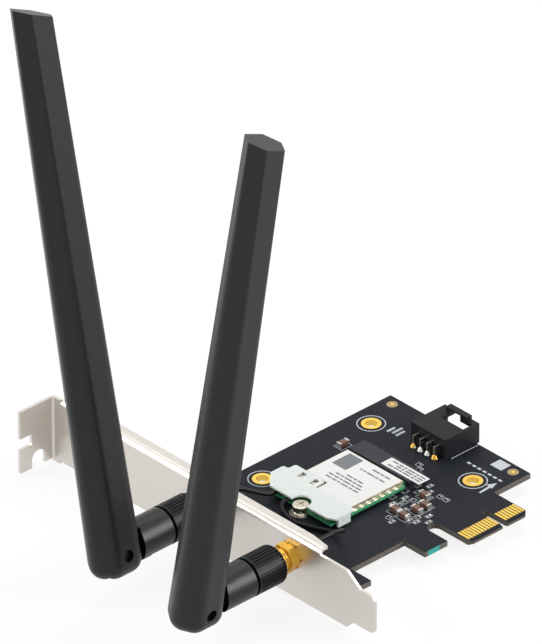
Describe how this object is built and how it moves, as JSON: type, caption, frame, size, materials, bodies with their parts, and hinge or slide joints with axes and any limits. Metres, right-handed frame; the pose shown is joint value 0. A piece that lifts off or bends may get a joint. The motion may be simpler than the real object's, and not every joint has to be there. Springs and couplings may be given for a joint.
{
  "type": "wireless network card",
  "caption": "Plug-in wireless network card: a keyed circuit board on a folded slot bracket, with a radio module, a side header and folding paddle antennas on threaded jacks.",
  "frame": {"origin": "on the contact edge, at the centre of the key notch, halfway through the main board", "axes": "+X from the bracket to the board's far edge, +Y from the contact edge to the screw tab, +Z out of the component side"},
  "size_m": [0.1196, 0.12, 0.1607],
  "materials": {
    "board": "satin",
    "gold": "polished",
    "sheet_steel": "plated",
    "screw_steel": "plated",
    "solder": "satin",
    "housing_black": "satin",
    "label_white": "matte",
    "module_green": "gloss",
    "can_metal": "satin",
    "chip_black": "matte",
    "cap_clear": "translucent",
    "lead_black": "satin",
    "insulator_white": "matte",
    "capacitor_brown": "matte",
    "antenna_black": "satin",
    "radiator_copper": "satin"
  },
  "bodies": {
    "card": {"bracket": "sheet_steel", "bracket_screws": "screw_steel", "cable_cap": "cap_clear", "capacitor_bodies": "capacitor_brown", "capacitor_ends": "solder", "coax_plugs": "screw_steel", "crimp_sleeves": "gold", "edge_contacts": "gold", "fiducial_dots": "gold", "header_pins": "screw_steel", "jack_insulators": "insulator_white", "jack_nuts": "gold", "jack_pins": "gold", "jack_washers": "gold", "left_jack": "gold", "left_lead": "lead_black", "main_board": "board", "module_screw": "screw_steel", "module_socket": "housing_black", "module_standoff": "screw_steel", "plated_holes": "gold", "radio_board": "module_green", "radio_chips": "chip_black", "radio_label": "label_white", "radio_receptacles": "gold", "radio_shield": "can_metal", "resistor_bodies": "chip_black", "resistor_ends": "solder", "right_jack": "gold", "right_lead": "lead_black", "socket_contacts": "solder", "socket_sticker": "label_white", "solder_cones": "solder", "usb_header": "housing_black"},
    "left_nut": {"left_coupling_nut": "antenna_black", "left_nut_insert": "gold"},
    "left_swivel": {"left_barrel": "antenna_black", "left_plug_body": "gold", "left_plug_insulator": "insulator_white", "left_plug_contact": "gold"},
    "left_antenna": {"left_paddle": "antenna_black", "left_radiator": "radiator_copper"},
    "right_nut": {"right_coupling_nut": "antenna_black", "right_nut_insert": "gold"},
    "right_swivel": {"right_barrel": "antenna_black", "right_plug_body": "gold", "right_plug_insulator": "insulator_white", "right_plug_contact": "gold"},
    "right_antenna": {"right_paddle": "antenna_black", "right_radiator": "radiator_copper"}
  },
  "joints": [
    {"name": "left_nut_spin", "type": "hinge", "parent": "card", "child": "left_nut", "pos_m": [-0.066, 0.0502, 0.0086], "axis": [1, 0, 0], "continuous": true},
    {"name": "left_swivel_turn", "type": "hinge", "parent": "card", "child": "left_swivel", "pos_m": [-0.0755, 0.0502, 0.0086], "axis": [1, 0, 0], "range_deg": [-169.1, 10.9]},
    {"name": "left_elbow", "type": "hinge", "parent": "left_swivel", "child": "left_antenna", "pos_m": [-0.08891, 0.0502, 0.0086], "axis": [0, 0.982, -0.1891], "range_deg": [-90, 0]},
    {"name": "right_nut_spin", "type": "hinge", "parent": "card", "child": "right_nut", "pos_m": [-0.066, 0.0182, 0.0086], "axis": [1, 0, 0], "continuous": true},
    {"name": "right_swivel_turn", "type": "hinge", "parent": "card", "child": "right_swivel", "pos_m": [-0.0755, 0.0182, 0.0086], "axis": [1, 0, 0], "range_deg": [-10, 170]},
    {"name": "right_elbow", "type": "hinge", "parent": "right_swivel", "child": "right_antenna", "pos_m": [-0.09021, 0.0182, 0.0086], "axis": [0, 0.9848, 0.1736], "range_deg": [-90, 0]}
  ]
}
